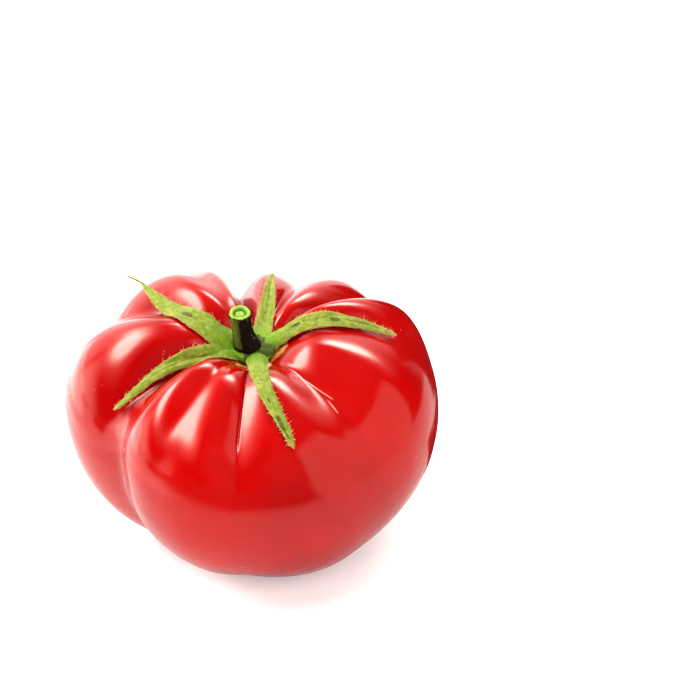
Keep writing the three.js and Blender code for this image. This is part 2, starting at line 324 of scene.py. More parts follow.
# Brightness of a pale card beside the floor's, how strongly both glow, and the cards that only the
# gloss mirrors: corners, and the distances in front of the fruit between which each turns dull
PALE_SHARE = 0.66
FLOOR_GLOW = 0.2
LOW, LOWER = 0.0005, 0.0003
DULL, PALE = (-2, -1), (8, 9)
CARDS = {
    "card_pale": (((-0.09, -0.6, LOWER), (0.6, -0.6, LOWER), (0.6, 0.3, LOWER), (-0.09, 0.3, LOWER)), PALE),
    "card_front": (
        ((-0.25, -0.085, LOW), (0.07, -0.085, LOW), (1.3, -1.7, LOW), (-3.5, -1.6, LOW)),
        (0.085, 0.15),
    ),
    "card_beside": (((0.045, 0.022, LOW), (0.09, 0.03, LOW), (0.1, 0.18, LOW), (0.045, 0.18, LOW)), DULL),
    "card_right": (((0.111, 0.085, 0), (0.053, 0.115, 0), (0.053, 0.115, 0.1), (0.111, 0.085, 0.1)), DULL),
}


# Colours and sizes that a user would change


def colour_setting(name, description, *default):
    return bpy.props.FloatVectorProperty(
        name=name, description=description, subtype="COLOR", size=4, min=0, max=1, default=(*default, 1)
    )


def count_setting(name, description, default, low, high):
    return bpy.props.IntProperty(name=name, description=description, default=default, min=low, max=high)


def brightness_setting(name, description, default):
    return bpy.props.FloatProperty(name=name, description=description, default=default, min=0)


class TomatoSkinSettings(bpy.types.PropertyGroup):
    flesh: colour_setting("Flesh", "Colour of the ripe skin", 0.31, 0.001, 0.001)
    # The deep colour is the flesh's own darker tone in random patches, and also painted shade in the bottoms
    # of the furrows and along the front crease
    deep: colour_setting(
        "Deep flesh", "Colour of the darker patches and the bottoms of the furrows", 0.235, 0.0, 0.001
    )
    speck: colour_setting("Specks", "Colour of the tiny pale dots under the skin", 0.5, 0.05, 0.015)
    cork: colour_setting(
        "Cork", "Colour of the corky ring round the stem and of the blossom scar", 0.46, 0.2, 0.04
    )
    nick: colour_setting("Healed nick", "Colour of the two thin healed nicks", 0.6, 0.18, 0.13)
    segments: count_setting("Segments", "Columns of faces round the fruit", 400, 64, 440)
    rings: count_setting("Rings", "Rows of faces from the stem to the blossom end", 220, 32, 224)


class TomatoCalyxSettings(bpy.types.PropertyGroup):
    leaf: colour_setting("Leaf", "Colour of the sepals", 0.13, 0.175, 0.012)
    root: colour_setting("Root", "Fresh green at the roots of the sepals", 0.11, 0.22, 0.009)
    tan: colour_setting("Dry edge", "Colour of the dry edges and tips", 0.3, 0.17, 0.05)
    # The blotch colour paints the dark blotches and pits of the sepals, and also painted shade in their
    # creases and on the hub beside the stem
    blotch: colour_setting("Blotches", "Colour of the dark patches and creases", 0.035, 0.045, 0.008)
    hair: colour_setting("Hairs", "Colour of the fine hairs", 0.62, 0.66, 0.36)
    sepal_hairs: count_setting("Hairs on a sepal", "Number of fine hairs on each sepal", 240, 0, 1000)
    stem_hairs: count_setting("Hairs on the stem", "Number of fine hairs on the stem", 70, 0, 1000)
    thickness: bpy.props.FloatProperty(
        name="Thickness",
        description="Thickness of a sepal along its middle",
        default=0.0009,
        min=0.0003,
        max=0.002,
        precision=4,
        unit="LENGTH",
    )


class TomatoStemSettings(bpy.types.PropertyGroup):
    bark: colour_setting("Bark", "Green of the stem's side", 0.04, 0.055, 0.006)
    # Painted shade: this near black darkens the stem's side away from the lights and its foot among the
    # sepals
    dark: colour_setting(
        "Shaded side", "Near black brown of the stem's withered side", 0.006, 0.003, 0.002
    )
    cut: colour_setting("Cut end", "Fresh green of the cut end", 0.14, 0.29, 0.02)


class TomatoStageSettings(bpy.types.PropertyGroup):
    floor: colour_setting("Floor", "Colour of the plain floor", 0.86, 0.86, 0.86)
    elevation: bpy.props.FloatProperty(
        name="Elevation",
        description="Angle of the camera above the horizon",
        default=math.radians(30),
        subtype="ANGLE",
        unit="ROTATION",
    )
    lens: bpy.props.FloatProperty(
        name="Lens", description="Focal length of the camera", default=150, min=20, max=400, unit="CAMERA"
    )
    key_brightness: brightness_setting(
        "Key brightness", "Brightness of the softboxes that the gloss mirrors", 19
    )
    fill_brightness: brightness_setting(
        "Fill brightness", "Brightness of the soft fills that light the fruit and the floor", 4.2
    )
    card_brightness: brightness_setting(
        "Card brightness", "Brightness of the white cards that the gloss mirrors", 1.45
    )
    surroundings: brightness_setting("Surroundings", "Brightness of the room away from its lights", 0.05)


# Shape of the fruit


def smooth(values, span):
    """0 before a span, 1 after it, smooth between."""
    share = np.clip((values - span[0]) / (span[1] - span[0]), 0, 1)
    return share * share * (3 - 2 * share)


def turn_between(azimuth, degrees):
    """Signed angle from an azimuth in degrees, in degrees."""
    return (np.degrees(azimuth) - degrees + 180) % 360 - 180


def depth_at(depths, polar):
    """How strongly a furrow or swell shows at a polar angle."""
    shoulder, equator, base = depths
    ends = smooth(polar, RELIEF_START) * (1 - smooth(polar, RELIEF_END))
    to_equator = smooth(polar, SHOULDER_TO_EQUATOR)
    to_base = smooth(polar, EQUATOR_TO_BASE)
    return ends * (shoulder * (1 - to_equator) + to_equator * equator * (1 - to_base) + to_base * base)


def furrow_share(azimuth, furrow):
    """1 along the bottom of a furrow, falling to 0 at its sides."""
    bottom, before, after, rounding = furrow[0], furrow[1], furrow[2], furrow[6]
    turn = turn_between(azimuth, bottom)
    share = np.hypot(turn / np.where(turn < 0, before, after), rounding) - rounding
    return np.clip(1 - share, 0, None) ** 2


def skin_points(azimuth, polar, finer=None):
    """Points of the skin in the fruit's own frame; finer lowers the radius by that many millimetres."""
    across, along = np.sin(polar), np.cos(polar)
    width = 1 / np.hypot(np.cos(azimuth) / HALF_WIDTH, np.sin(azimuth) / HALF_DEPTH)
    height = np.where(along > 0, SHOULDER_HEIGHT, BASE_HEIGHT)
    fullness = np.where(along > 0, SHOULDER_FULLNESS, BASE_FULLNESS)
    plain = ((across / width) ** fullness + (np.abs(along) / height) ** fullness) ** (-1 / fullness)
    cut = np.zeros_like(plain)
    for furrow in FURROWS:
        cut += furrow_share(azimuth, furrow) * depth_at(furrow[3:6], polar)
    for swell in SWELLS:
        cut -= np.exp(-((turn_between(azimuth, swell[0]) / swell[1]) ** 2)) * depth_at(swell[2:], polar)
    radius = plain * (1 - cut)
    if finer is not None:
        radius = radius - finer
    reach, z = radius * across, radius * along
    hollow = CAVITY_DEPTH * np.exp(-((reach / CAVITY_RADIUS) ** 2))
    dimple = DIMPLE_DEPTH * np.exp(-((reach / DIMPLE_RADIUS) ** 2))
    z = np.where(along > 0, z - hollow, z + dimple)
    drift = BASE_DRIFT * (np.clip(-z, 0, None) / BASE_HEIGHT) ** 2
    return np.stack([reach * np.cos(azimuth) + drift, reach * np.sin(azimuth), z], -1)


def skin_height(x, y):
    """Height of the upper skin at places of the fruit's own frame."""
    azimuth, reach = np.arctan2(y, x), np.hypot(x, y)
    low, high = np.zeros_like(reach), np.full_like(reach, math.pi / 2)
    for _ in range(HALVINGS):
        middle = (low + high) / 2
        point = skin_points(azimuth, middle)
        inside = np.hypot(point[..., 0], point[..., 1]) < reach
        low, high = np.where(inside, middle, low), np.where(inside, high, middle)
    return skin_points(azimuth, low)[..., 2]


def stand(points, pressed=False):
    """From the fruit's own frame in millimetres to the frame it stands in, in metres."""
    lean = math.radians(LEAN)
    x, y, z = points[..., 0], points[..., 1], points[..., 2]
    leaned_y = y * math.cos(lean) - z * math.sin(lean)
    leaned_z = y * math.sin(lean) + z * math.cos(lean) + STAND[2]
    if pressed:
        height = leaned_z + PRESS_DEPTH
        leaned_z = np.clip((height + np.hypot(height, PRESS_SOFTNESS)) / 2 - PRESS_DEPTH, 0, None)
    return np.stack([x + STAND[0], leaned_y + STAND[1], leaned_z], -1) * MM


def waves(points, scale, seed, octaves=3):
    """Smooth seeded undulation between about -1 and 1, from sums of sines along random directions."""
    rng = np.random.default_rng(seed)
    total = np.zeros(points.shape[:-1])
    for octave in range(octaves):
        for _ in range(5):
            direction = rng.normal(size=3)
            direction *= 2 * math.pi * 2**octave / scale / np.linalg.norm(direction)
            total += np.sin(points @ direction + rng.uniform(0, 2 * math.pi)) / 2**octave
    return total / 5


# Shape of the sepals


def spine_point(entry):
    reach, azimuth, lift, _ = entry
    x, y = reach * math.cos(math.radians(azimuth)), reach * math.sin(math.radians(azimuth))
    return np.array([x, y, float(skin_height(np.array(x), np.array(y))) + lift])


def along_curve(points, share):
    """Centripetal curve through the spine's points, with its direction."""
    ends = np.vstack([2 * points[0] - points[1], points, 2 * points[-1] - points[-2]])
    place = np.clip(share, 0, 1) * (len(points) - 1)
    index = np.minimum(place.astype(int), len(points) - 2)
    p0, p1, p2, p3 = (ends[index + step] for step in range(4))
    d0, d1, d2 = (
        np.maximum(np.sum((b - a) ** 2, axis=1) ** 0.25, 1e-4)[:, None]
        for a, b in ((p0, p1), (p1, p2), (p2, p3))
    )
    m1 = (p1 - p0) / d0 - (p2 - p0) / (d0 + d1) + (p2 - p1) / d1
    m2 = (p2 - p1) / d1 - (p3 - p1) / (d1 + d2) + (p3 - p2) / d2
    m1, m2 = m1 * d1, m2 * d1
    t = (place - index)[:, None]
    a, b = 2 * p1 - 2 * p2 + m1 + m2, -3 * p1 + 3 * p2 - 2 * m1 - m2
    point = ((a * t + b) * t + m1) * t + p1
    forward = (3 * a * t + 2 * b) * t + m1
    return point, forward / np.linalg.norm(forward, axis=1, keepdims=True)


def blade(name, across, share, thickness):
    """Middle surface of a sepal, its thickness, and the directions to its side and up."""
    sepal = SEPALS[name]
    seed = list(SEPALS).index(name)
    spine = np.array([spine_point(entry) for entry in sepal["spine"]])
    widths = np.array([entry[3] for entry in sepal["spine"]])
    centre, forward = along_curve(spine, share)
    side = np.cross(forward, (0, 0, 1))
    side /= np.linalg.norm(side, axis=1, keepdims=True)
    roll = math.radians(sepal["roll"])
    side = side * math.cos(roll) + np.cross(forward, side) * math.sin(roll)
    up = np.cross(side, forward)
    width = np.interp(share * (len(widths) - 1), range(len(widths)), widths)
    ragged = 1 + 0.05 * waves(centre + across[:, None] * side * 3, 5, 20 + seed)
    half = width / 2 * ragged * (1 - 0.85 * smooth(share, (0.965, 1)))
    fold = sepal["fold"] * width * (np.hypot(across, 0.12) - 1) / 2
    bulge = 0.16 * width * (1 - across**2) * (1 - smooth(share, (0.08, 0.3)))
    ripple = 0.18 * waves(centre, 7, 40 + seed) * across**2 * smooth(share, (0.05, 0.2))
    lift = fold + bulge + ripple - sepal["droop"] * width * across**2
    middle = centre + side * (across * half)[:, None] + up * lift[:, None]
    thin = thickness * (1 - 0.5 * np.abs(across) ** 3) * (1 - 0.45 * share)
    floor = skin_height(middle[:, 0], middle[:, 1]) + SKIN_GAP + thin
    middle[:, 2] = np.maximum(middle[:, 2], floor)
    return middle, thin, side, up


# Small helpers for directions, meshes and materials


def direction(azimuth, elevation):
    turn, rise = math.radians(azimuth), math.radians(elevation)
    return Vector((math.cos(turn) * math.cos(rise), math.sin(turn) * math.cos(rise), math.sin(rise)))


def deselect_all():
    for thing in bpy.context.view_layer.objects:
        thing.select_set(False)
    bpy.context.view_layer.objects.active = None


def active_piece(name):
    piece = bpy.context.object
    piece.name = name
    piece.data.name = name
    return piece


def places_of(piece):
    mesh = piece.data
    places = np.empty(len(mesh.vertices) * 3)
    mesh.vertices.foreach_get("co", places)
    return places.reshape(-1, 3)


def move_vertices(piece, places):
    piece.data.vertices.foreach_set("co", np.ascontiguousarray(places, dtype=np.float64).ravel())
    piece.data.update()


def add_attribute(piece, name, values):
    layer = piece.data.attributes.new(name, "FLOAT", "POINT")
    layer.data.foreach_set("value", np.ascontiguousarray(values, dtype=np.float32).ravel())


def face_outward(piece):
    bpy.context.view_layer.objects.active = piece
    piece.select_set(True)
    bpy.ops.object.mode_set(mode="EDIT")
    bpy.ops.mesh.select_all(action="SELECT")
    bpy.ops.mesh.normals_make_consistent(inside=False)
    bpy.ops.object.mode_set(mode="OBJECT")


def finish_piece(piece, node):
    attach(piece, "root")
    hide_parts(node)


def turn_and_share(places, pole):
    """Azimuth of a sphere's places, and their share of the way from its lower (-1) or upper (1) pole."""
    turn = np.arctan2(places[:, 1], places[:, 0])
    height = pole * places[:, 2] / np.linalg.norm(places, axis=1)
    return turn, np.arccos(np.clip(height, -1, 1)) / math.pi


class Nodes:
    """Short way to add and link the nodes of one material or world."""

    def __init__(self, name, owners="materials", output="OutputMaterial"):
        self.owner = getattr(bpy.data, owners).new(name)
        self.owner.use_nodes = True
        self.tree = self.owner.node_tree
        self.tree.nodes.clear()
        self.output = self.add(output)

    def add(self, kind, settings=None, **inputs):
        node = self.tree.nodes.new(f"ShaderNode{kind}")
        for key, value in (settings or {}).items():
            setattr(node, key, value)
        for key, value in inputs.items():
            self.put(node, key.replace("_", " "), value)
        return node

    def put(self, node, key, value):
        socket = node.inputs[int(key)] if key.isdigit() else node.inputs[key]
        if isinstance(value, bpy.types.NodeSocket):
            self.tree.links.new(value, socket)
        else:
            socket.default_value = value

    def math(self, operation, *values):
        node = self.add("Math", {"operation": operation})
        for index, value in enumerate(values):
            self.put(node, str(index), value)
        return node.outputs[0]

    def mix(self, share, first, second):
        node = self.add("Mix", {"data_type": "RGBA"})
        for index, value in (("0", share), ("6", first), ("7", second)):
            self.put(node, index, value)
        return node.outputs[2]

    def ramp(self, value, low, high):
        """0 below low, 1 above high, smooth between."""
        node = self.add("MapRange", {"interpolation_type": "SMOOTHSTEP"})
        for index, entry in enumerate((value, low, high, 0.0, 1.0)):
            self.put(node, str(index), entry)
        return node.outputs[0]

    def times(self, value, factor):
        return self.math("MULTIPLY", value, factor)

    def fade(self, value, low, high):
        """1 below low, 0 above high, smooth between."""
        return self.math("SUBTRACT", 1.0, self.ramp(value, low, high))

    def ragged(self, value, noise, amount, low, high):
        """A ramp whose limits are made uneven by noise."""
        uneven = self.times(self.math("SUBTRACT", noise, 0.5), amount)
        return self.ramp(self.math("ADD", value, uneven), low, high)

    def place(self):
        return self.add("TexCoord").outputs["Object"]

    def cells(self, scale):
        return self.add("TexVoronoi", Vector=self.place(), Scale=scale).outputs["Distance"]

    def noise(self, scale, detail=3.0, roughness=0.55, stretch=None):
        place = self.place()
        if stretch:
            place = self.add("Mapping", Vector=place, Scale=stretch).outputs[0]
        node = self.add("TexNoise", Vector=place, Scale=scale, Detail=detail, Roughness=roughness)
        return node.outputs["Fac"]

    def attribute(self, name):
        return self.add("Attribute", {"attribute_name": name}).outputs["Fac"]

    def principled(self, numbers, **inputs):
        """A principled shader whose plain numbers and colours are set on its own sockets."""
        shader = self.add("BsdfPrincipled", **inputs)
        for key, value in numbers.items():
            shader.inputs[key].default_value = value
        return self.close(shader)

    def close(self, shader):
        self.tree.links.new(shader.outputs[0], self.output.inputs["Surface"])
        return self.owner


# Materials


def skin_material(settings):
    nodes = Nodes("ripe_skin")
    drift = nodes.ramp(nodes.noise(28, 4), 0.35, 0.7)
    colour = nodes.mix(drift, settings.flesh, settings.deep)
    # Painted shade: the bottoms of the furrows and the front crease are darkened towards the deep colour
    colour = nodes.mix(nodes.times(nodes.attribute("furrow"), 0.75), colour, settings.deep)
    small = nodes.fade(nodes.cells(620.0), 0.06, 0.17)
    patchy = nodes.ramp(nodes.noise(160, 2), 0.5, 0.66)
    colour = nodes.mix(nodes.times(nodes.times(small, patchy), 0.3), colour, settings.speck)
    colour = nodes.mix(nodes.attribute("nick"), colour, settings.nick)
    cork = nodes.ragged(nodes.attribute("cork"), nodes.noise(420, 5, 0.7), 2.2, 0.42, 0.58)
    cracked = nodes.ramp(nodes.noise(500, 3), 0.45, 0.65)
    colour = nodes.mix(cork, colour, nodes.mix(cracked, settings.cork, (0.09, 0.02, 0.008, 1)))
    roughness = nodes.math("ADD", 0.14, nodes.times(cork, 0.55))
    roughness = nodes.math("ADD", roughness, nodes.times(nodes.noise(90, 3), 0.05))
    relief = nodes.times(nodes.times(cork, nodes.noise(900, 4, 0.7)), 6.0)
    height = nodes.math("ADD", nodes.times(nodes.noise(260, 2), 0.35), relief)
    bump = nodes.add("Bump", Strength=0.12, Distance=0.00012, Height=height)
    numbers = {
        "IOR": 1.44,
        "Specular Tint": (1, 0.94, 0.84, 1),
        "Subsurface Weight": 0.12,
        "Subsurface Radius": (1.0, 0.12, 0.06),
        "Subsurface Scale": 0.004,
    }
    return nodes.principled(numbers, Base_Color=colour, Roughness=roughness, Normal=bump.outputs[0])


def leaf_material(settings):
    nodes = Nodes("sepal_green")
    across = nodes.math("ABSOLUTE", nodes.attribute("across"))
    along = nodes.attribute("along")
    mottle = nodes.ramp(nodes.noise(650, 5, 0.7), 0.42, 0.6)
    colour = nodes.mix(mottle, settings.leaf, (0.22, 0.25, 0.042, 1))
    waved = nodes.math("ADD", nodes.times(across, 16.0), nodes.times(nodes.noise(300, 3), 9.0))
    streak = nodes.ramp(nodes.math("SINE", waved), 0, 1.0)
    colour = nodes.mix(nodes.times(streak, 0.3), colour, (0.06, 0.085, 0.008, 1))
    # Painted shade along the fold down the middle of each blade
    off_middle = nodes.math("ADD", across, nodes.times(nodes.noise(400, 2), 0.12))
    middle = nodes.fade(off_middle, 0.06, 0.16)
    colour = nodes.mix(nodes.times(middle, 0.45), colour, (0.05, 0.075, 0.008, 1))
    colour = nodes.mix(nodes.times(nodes.fade(along, 0.06, 0.3), 0.9), colour, settings.root)
    pits = nodes.fade(nodes.cells(1500.0), 0.1, 0.35)
    colour = nodes.mix(nodes.times(pits, 0.16), colour, settings.blotch)
    # Painted shade mixed with real blotches: the creases of the sepals and the hub beside the stem are
    # darkened towards the blotch colour
    spots_and_shade_share = nodes.ragged(nodes.attribute("patch"), nodes.noise(700, 3), 0.9, 0.42, 0.6)
    colour = nodes.mix(nodes.times(spots_and_shade_share, 0.85), colour, settings.blotch)
    edge = nodes.ragged(across, nodes.noise(500, 2), 0.25, 0.86, 0.97)
    dry = nodes.math("MAXIMUM", nodes.times(edge, 0.75), nodes.ramp(along, 0.9, 1.0))
    colour = nodes.mix(dry, colour, settings.tan)
    height = nodes.math("ADD", nodes.noise(1100, 4, 0.7), nodes.times(pits, -0.6))
    bump = nodes.add("Bump", Strength=0.7, Distance=0.0004, Height=height)
    numbers = {
        "Roughness": 0.62,
        "Subsurface Weight": 0.08,
        "Subsurface Radius": (0.4, 0.8, 0.1),
        "Subsurface Scale": 0.001,
        "Specular IOR Level": 0.15,
        "Sheen Weight": 0.03,
    }
    return nodes.principled(numbers, Base_Color=colour, Normal=bump.outputs[0])


def stem_material(settings):
    nodes = Nodes("stem_bark")
    streaks = nodes.noise(700, 4, 0.6, stretch=(1, 1, 0.25))
    colour = nodes.mix(nodes.ramp(streaks, 0.4, 0.65), settings.bark, (0.085, 0.115, 0.014, 1))
    # Painted shade: near black on the side away from the lights and at the foot
    shaded = nodes.ragged(nodes.attribute("shaded"), streaks, 0.7, 0.4, 0.62)
    colour = nodes.mix(shaded, colour, settings.dark)
    cut = nodes.mix(nodes.ramp(nodes.noise(1800, 2), 0.4, 0.6), settings.cut, (0.26, 0.37, 0.08, 1))
    # The vascular ring's own darker green, and a dark spot at the middle that is painted shade standing in
    # for a small hole
    cut = nodes.mix(nodes.attribute("ring"), cut, (0.02, 0.055, 0.006, 1))
    colour = nodes.mix(nodes.attribute("cut_end"), colour, cut)
    bump = nodes.add("Bump", Strength=0.6, Distance=0.0003, Height=streaks)
    numbers = {"Roughness": 0.6, "Specular IOR Level": 0.15}
    return nodes.principled(numbers, Base_Color=colour, Normal=bump.outputs[0])


def hair_material(settings):
    nodes = Nodes("fine_hair")
    tint = nodes.ramp(nodes.noise(300, 2), 0.4, 0.6)
    colour = nodes.mix(tint, settings.hair, (0.7, 0.62, 0.46, 1))
    return nodes.principled({"Roughness": 0.5}, Base_Color=colour)


def floor_material(colour):
    nodes = Nodes("pale_floor")
    cloud = nodes.ramp(nodes.noise(3, 2), 0.3, 0.7)
    shade = nodes.mix(nodes.times(cloud, 0.02), colour, (0.8, 0.8, 0.8, 1))
    numbers = {
        "Roughness": 0.8,
        "Specular IOR Level": 0.2,
        "Emission Color": (1, 1, 1, 1),
        "Emission Strength": FLOOR_GLOW,
    }
    return nodes.principled(numbers, Base_Color=shade)


def card_material(name, floor, fade):
    """Pale up to the first distance in front of the fruit, dull from the second one on."""
    nodes = Nodes(name)
    pale = tuple(PALE_SHARE * value for value in floor[:3]) + (1,)
    dull = nodes.mix(nodes.noise(20, 2), (0.03, 0.004, 0.004, 1), (0.045, 0.006, 0.006, 1))
    in_front = nodes.times(nodes.add("SeparateXYZ", Vector=nodes.place()).outputs["Y"], -1.0)
    share = nodes.ramp(in_front, fade[0], fade[1])
    glow = nodes.mix(share, (PALE_SHARE, PALE_SHARE, PALE_SHARE, 1), (0, 0, 0, 1))
    numbers = {"Roughness": 0.8, "Specular IOR Level": 0.2, "Emission Strength": FLOOR_GLOW}
    return nodes.principled(numbers, Base_Color=nodes.mix(share, pale, dull), Emission_Color=glow)


# Operators


class TOMATO_OT_add_skin(bpy.types.Operator):
    """Model the lobed fruit from a UV sphere"""

    bl_idname = "tomato.add_skin"
    bl_label = "Add fruit"

    def execute(self, context):
        settings = context.scene.tomato_skin
        deselect_all()
        bpy.ops.mesh.primitive_uv_sphere_add(
            segments=settings.segments, ring_count=settings.rings, radius=HALF_WIDTH * MM
        )
        piece = active_piece("fruit_skin")
        turn, share = turn_and_share(places_of(piece), 1)
        azimuth = self.crowd(turn % (2 * math.pi))
        polar = math.pi * self.spread_rows(share)
        rough = skin_points(azimuth, polar)
        crease = self.crease(azimuth, polar)
        nick = self.nicks(azimuth, polar)
        cork = self.cork(rough)
        finer = CREASE_DEPTH * crease - NICK_HEIGHT * nick
        finer = finer - UNDULATION * waves(rough, 26, 3) * smooth(polar, UNDULATION_START)
        finer = finer - CORK_HEIGHT * cork * (0.5 + waves(rough, 1.6, 5))
        move_vertices(piece, stand(skin_points(azimuth, polar, finer), pressed=True))
        # Painted shade: a mask along the bottoms of the furrows, strongest on the shoulders, and along the
        # front crease, which darkens the skin there
        furrow = sum(
            depth_at(entry[3:6], polar) * np.clip(1 - np.abs(turn_between(azimuth, entry[0])) / 4, 0, 1) ** 2
            for entry in FURROWS
        )
        add_attribute(piece, "furrow", np.clip(furrow * 8 + crease, 0, 1))
        add_attribute(piece, "nick", nick)
        add_attribute(piece, "cork", cork)
        face_outward(piece)
        bpy.ops.object.shade_smooth()
        piece.data.materials.append(skin_material(settings))
        finish_piece(piece, "fruit")
        return {"FINISHED"}

    def crowd(self, azimuth):
        """Columns drawn together where the crease and the nicks need fine faces."""
        grid = np.linspace(0, 2 * math.pi, CROWD_STEPS)
        density = np.ones_like(grid)
        for centre, spread, times in CROWDED:
            density += times * np.exp(-((turn_between(grid, centre) / spread) ** 2))
        total = np.concatenate([[0], np.cumsum((density[1:] + density[:-1]) / 2)])
        return np.interp(azimuth, total / total[-1] * 2 * math.pi, grid)

    def spread_rows(self, share):
        """Rows drawn together towards the stem, where the hollow and the corky ring are."""
        return share - ROW_PULL * np.sin(2 * math.pi * share) * (1 - share)

    def crease(self, azimuth, polar):
        start, end = CREASE_POLAR
        span = smooth(polar, (start, start + CREASE_FADE)) * (1 - smooth(polar, (end - CREASE_FADE, end)))
        return span * np.exp(-((turn_between(azimuth, CREASE_AZIMUTH) / CREASE_WIDTH) ** 2))

    def nicks(self, azimuth, polar):
        degrees = np.degrees(azimuth)
        marks = np.zeros_like(azimuth)
        for (start_turn, start), (end_turn, end) in NICKS:
            share = np.clip((polar - start) / (end - start), 0, 1)
            line = start_turn + (end_turn - start_turn) * share
            past = polar - start - (end - start) * share
            across = np.hypot((degrees - line) * NICK_SCALE[0], past * NICK_SCALE[1])
            taper = NICK_WIDTH[0] + NICK_WIDTH[1] * np.sin(math.pi * share)
            marks = np.maximum(marks, np.clip(1.4 - across / taper, 0, 1))
        return marks

    def cork(self, points):
        """The corky ring under the calyx, and the star of the blossom scar."""
        reach = np.hypot(points[:, 0], points[:, 1])
        turn = np.arctan2(points[:, 1], points[:, 0])
        edge = 7 + 0.9 * np.sin(3 * turn + 1) + 0.6 * np.sin(7 * turn + 2) + 0.4 * np.sin(12 * turn)
        ring = (points[:, 2] > 0) * (1 - smooth(reach - edge, (-0.6, 1.2)))
        drifted = np.hypot(points[:, 0] - BASE_DRIFT, points[:, 1])
        turned = np.arctan2(points[:, 1], points[:, 0] - BASE_DRIFT)
        star = 2.2 + 2.6 * np.abs(np.cos(2.5 * turned + 0.4)) ** 5
        scar = (points[:, 2] < 0) * (1 - smooth(drifted - star, (-0.5, 0.8)))
        return np.maximum(ring, scar)


class TOMATO_OT_add_calyx(bpy.types.Operator):
    """Model the hub from a sphere and its five sepals from grids"""

    bl_idname = "tomato.add_calyx"
    bl_label = "Add calyx"

    def execute(self, context):
        settings = context.scene.tomato_calyx
        material = leaf_material(settings)
        parts = [self.hub()]
        for name in SEPALS:
            parts.append(self.sepal(name, settings.thickness / MM))
        deselect_all()
        for part in parts:
            part.select_set(True)
        bpy.context.view_layer.objects.active = parts[0]
        bpy.ops.object.join()
        piece = active_piece("calyx_leaves")
        bpy.ops.object.shade_smooth()
        piece.data.materials.clear()
        piece.data.materials.append(material)
        finish_piece(piece, "calyx")
        return {"FINISHED"}

    def hub(self):
        """A low pad over the floor of the hollow, folded between the roots of the sepals."""
        deselect_all()
        reaches = [*[ring[0] for ring in HUB_RINGS], *HUB_UPPER_RINGS]
        rings = len(reaches)
        bpy.ops.mesh.primitive_uv_sphere_add(segments=HUB_SIDES, ring_count=rings * 3 + 1, radius=MM)
        part = active_piece("calyx_hub")
        turn, share = turn_and_share(places_of(part), -1)
        index = np.clip(share * (rings + 1) - 1, -1, rings)
        reach = np.interp(index, range(-1, rings + 1), [0, *reaches, 0])
        web = WEB[2] * np.exp(-((turn_between(turn, WEB[0]) / WEB[1]) ** 2))
        fold = 1 + 0.06 * np.cos(5 * turn + 0.6) + 0.03 * np.sin(11 * turn) + web
        x, y = reach * fold * np.cos(turn), reach * fold * np.sin(turn)
        lifts = [HUB_LIFT, *[ring[1] for ring in HUB_RINGS]]
        low = skin_height(x, y) + np.interp(index, range(-1, len(HUB_RINGS)), lifts)
        high = np.maximum(HUB_TOP + 0.15 * np.cos(9 * turn) * (reach > 2), skin_height(x, y) + 1)
        climb = smooth(index, (len(HUB_RINGS) - 1, len(HUB_RINGS) + 0.6))
        z = low * (1 - climb) + high * climb
        move_vertices(part, stand(np.stack([x, y, z], -1)))
        add_attribute(part, "across", np.zeros_like(x))
        add_attribute(part, "along", np.zeros_like(x))
        # Painted shade on the hub beside the stem, between the roots of the sepals
        add_attribute(part, "patch", np.clip(1.7 - reach / 4.6, 0, 1) * smooth(x, (-3.5, -1.5)))
        face_outward(part)
        return part

    def sepal(self, name, thickness):
        """A blade along its spine: a grid moved onto it, thickened, and smoothed."""
        deselect_all()
        bpy.ops.mesh.primitive_grid_add(
            x_subdivisions=SEPAL_COLUMNS, y_subdivisions=SEPAL_STATIONS, size=2
        )
        part = active_piece(f"sepal_{name}")
        places = places_of(part)
        across, share = places[:, 0], (places[:, 1] + 1) / 2
        middle, thin, _, _ = blade(name, across, share, thickness)
        move_vertices(part, stand(middle))
        add_attribute(part, "across", across)
        add_attribute(part, "along", share)
        add_attribute(part, "patch", self.patches(name, across, share))
        group = part.vertex_groups.new(name="thickness")
        for vertex, value in enumerate(thin / thickness):
            group.add([vertex], float(value), "REPLACE")
        part.select_set(True)
        bpy.context.view_layer.objects.active = part
        solid = part.modifiers.new("Thickness", "SOLIDIFY")
        solid.thickness = thickness * MM
        solid.offset = 0
        solid.vertex_group = "thickness"
        bpy.ops.object.modifier_apply(modifier=solid.name)
        soft = part.modifiers.new("Soft edges", "SUBSURF")
        soft.levels = 1
        soft.render_levels = 1
        bpy.ops.object.modifier_apply(modifier=soft.name)
        face_outward(part)
        return part

    def patches(self, name, across, share):
        """Where the dark blotches of each sepal lie, and the painted shade in its creases."""
        dark = np.zeros_like(across)
        for centre, place, wide, long in SEPALS[name]["spots"]:
            far = np.hypot((across - centre) / wide, (share - place) / long)
            dark = np.maximum(dark, np.clip(1.25 - far, 0, 1))
        return dark


